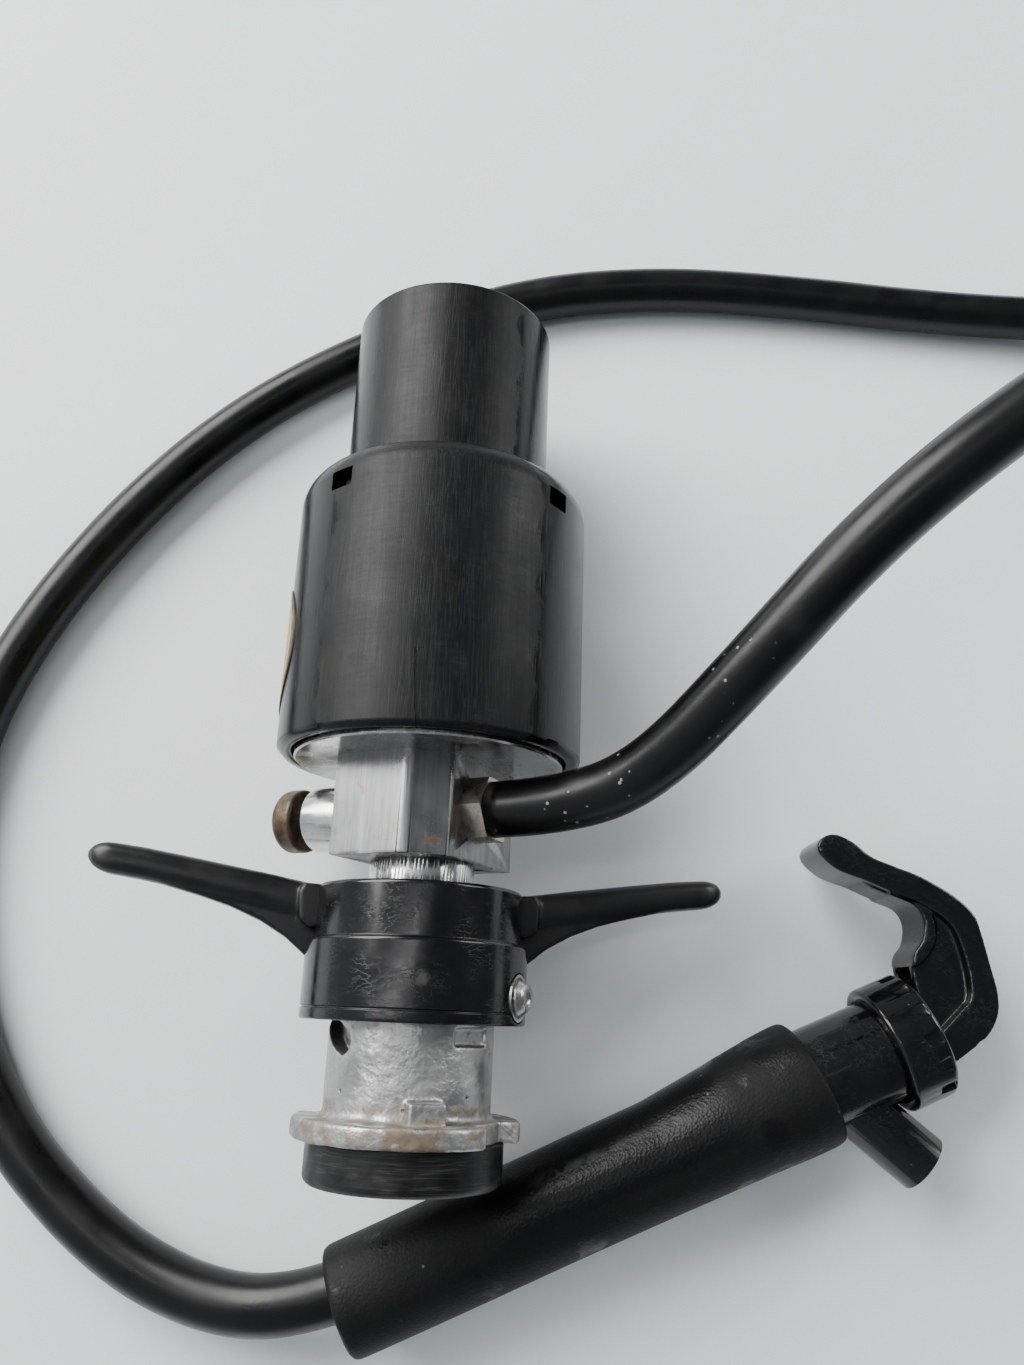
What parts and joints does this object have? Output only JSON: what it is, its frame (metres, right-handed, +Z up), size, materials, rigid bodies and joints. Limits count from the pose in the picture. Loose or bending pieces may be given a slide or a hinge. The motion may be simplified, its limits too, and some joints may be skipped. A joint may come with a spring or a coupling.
{
  "type": "hand pump",
  "caption": "Hand-operated keg pump with twist-lock wing collar, bayonet coupler, relief button, delivery hose and squeeze faucet",
  "frame": {"origin": "middle of the pump's length, under its axis, on the surface it lies on; the hose and what is on it are left out", "axes": "+Y along the pump axis towards the plunger knob, +Z up, +X towards the hose side"},
  "size_m": [0.3978, 0.3119, 0.1264],
  "materials": {
    "housing_plastic": "scuffed",
    "inner_plastic": "moulded",
    "cylinder_plastic": "moulded",
    "aluminium": "brushed",
    "cast_aluminium": "cast",
    "polished": "polished",
    "steel": "plain",
    "nickel": "tarnished",
    "brown_brass": "aged",
    "rubber": "worn",
    "hose_vinyl": "glossy",
    "grip_foam": "matte",
    "faucet_plastic": "glossy",
    "label_gold": "worn"
  },
  "bodies": {
    "pump": {"pump_housing": "housing_plastic", "guide_ring": "inner_plastic", "base_plate": "aluminium", "plate_screws": "steel", "base_gasket": "rubber", "pump_cylinder": "cylinder_plastic", "cylinder_cap": "inner_plastic", "return_spring": "steel", "valve_block": "aluminium", "check_ball": "steel", "check_spring": "steel", "hose_nut": "nickel", "hose_barb": "nickel", "relief_barrel": "aluminium", "relief_spring": "steel", "probe_tube": "polished", "probe_pin": "steel", "probe_ball": "steel", "probe_seal": "rubber", "retaining_clip": "steel", "label_plate": "label_gold", "hose": "hose_vinyl", "hose_end": "hose_vinyl", "grip_sleeve": "grip_foam", "faucet_body": "faucet_plastic", "faucet_cap": "faucet_plastic", "lever_pin": "steel", "faucet_spring": "steel"},
    "plunger": {"plunger_knob": "housing_plastic", "piston_head": "inner_plastic", "piston_seal": "rubber", "piston_rod": "steel", "piston_screw": "steel"},
    "collar": {"wing_collar": "housing_plastic", "collar_screws": "steel", "collar_washers": "steel"},
    "coupler": {"coupler_body": "cast_aluminium", "bottom_seal": "rubber"},
    "relief": {"relief_button": "brown_brass", "relief_seal": "rubber"},
    "lever": {"faucet_lever": "faucet_plastic"},
    "stem": {"faucet_stem": "faucet_plastic", "faucet_seat": "rubber"}
  },
  "joints": [
    {"name": "plunger_stroke", "type": "slide", "parent": "pump", "child": "plunger", "axis": [0, -1, 0], "range_m": [0, 0.04], "stiffness_N_per_m": 250, "springref_m": -0.01, "deforming": ["return_spring"]},
    {"name": "wing_turn", "type": "hinge", "parent": "pump", "child": "collar", "pos_m": [0, 0, 0.03775], "axis": [0, 1, 0], "range_deg": [0, 63]},
    {"name": "coupler_slide", "type": "slide", "parent": "pump", "child": "coupler", "axis": [0, 1, 0], "range_m": [0, 0.0104]},
    {"name": "relief_push", "type": "slide", "parent": "pump", "child": "relief", "axis": [0.8829, 0, 0.4695], "range_m": [0, 0.002], "stiffness_N_per_m": 800, "springref_m": -0.002, "deforming": ["relief_spring"]},
    {"name": "lever_squeeze", "type": "hinge", "parent": "pump", "child": "lever", "pos_m": [0.12851, -0.06312, 0.0156], "axis": [0, 0, 1], "range_deg": [0, 14], "stiffness_Nm_per_rad": 0.8, "springref_deg": -8.59, "deforming": ["faucet_spring"]},
    {"name": "stem_lift", "type": "slide", "parent": "pump", "child": "stem", "axis": [0.9135, 0.4067, 0], "range_m": [0, 0.0023]}
  ],
  "couplings": [
    {"joint": "coupler_slide", "follows": "wing_turn", "m_per_rad": 0.0094584},
    {"joint": "stem_lift", "follows": "lever_squeeze", "m_per_rad": 0.009}
  ]
}
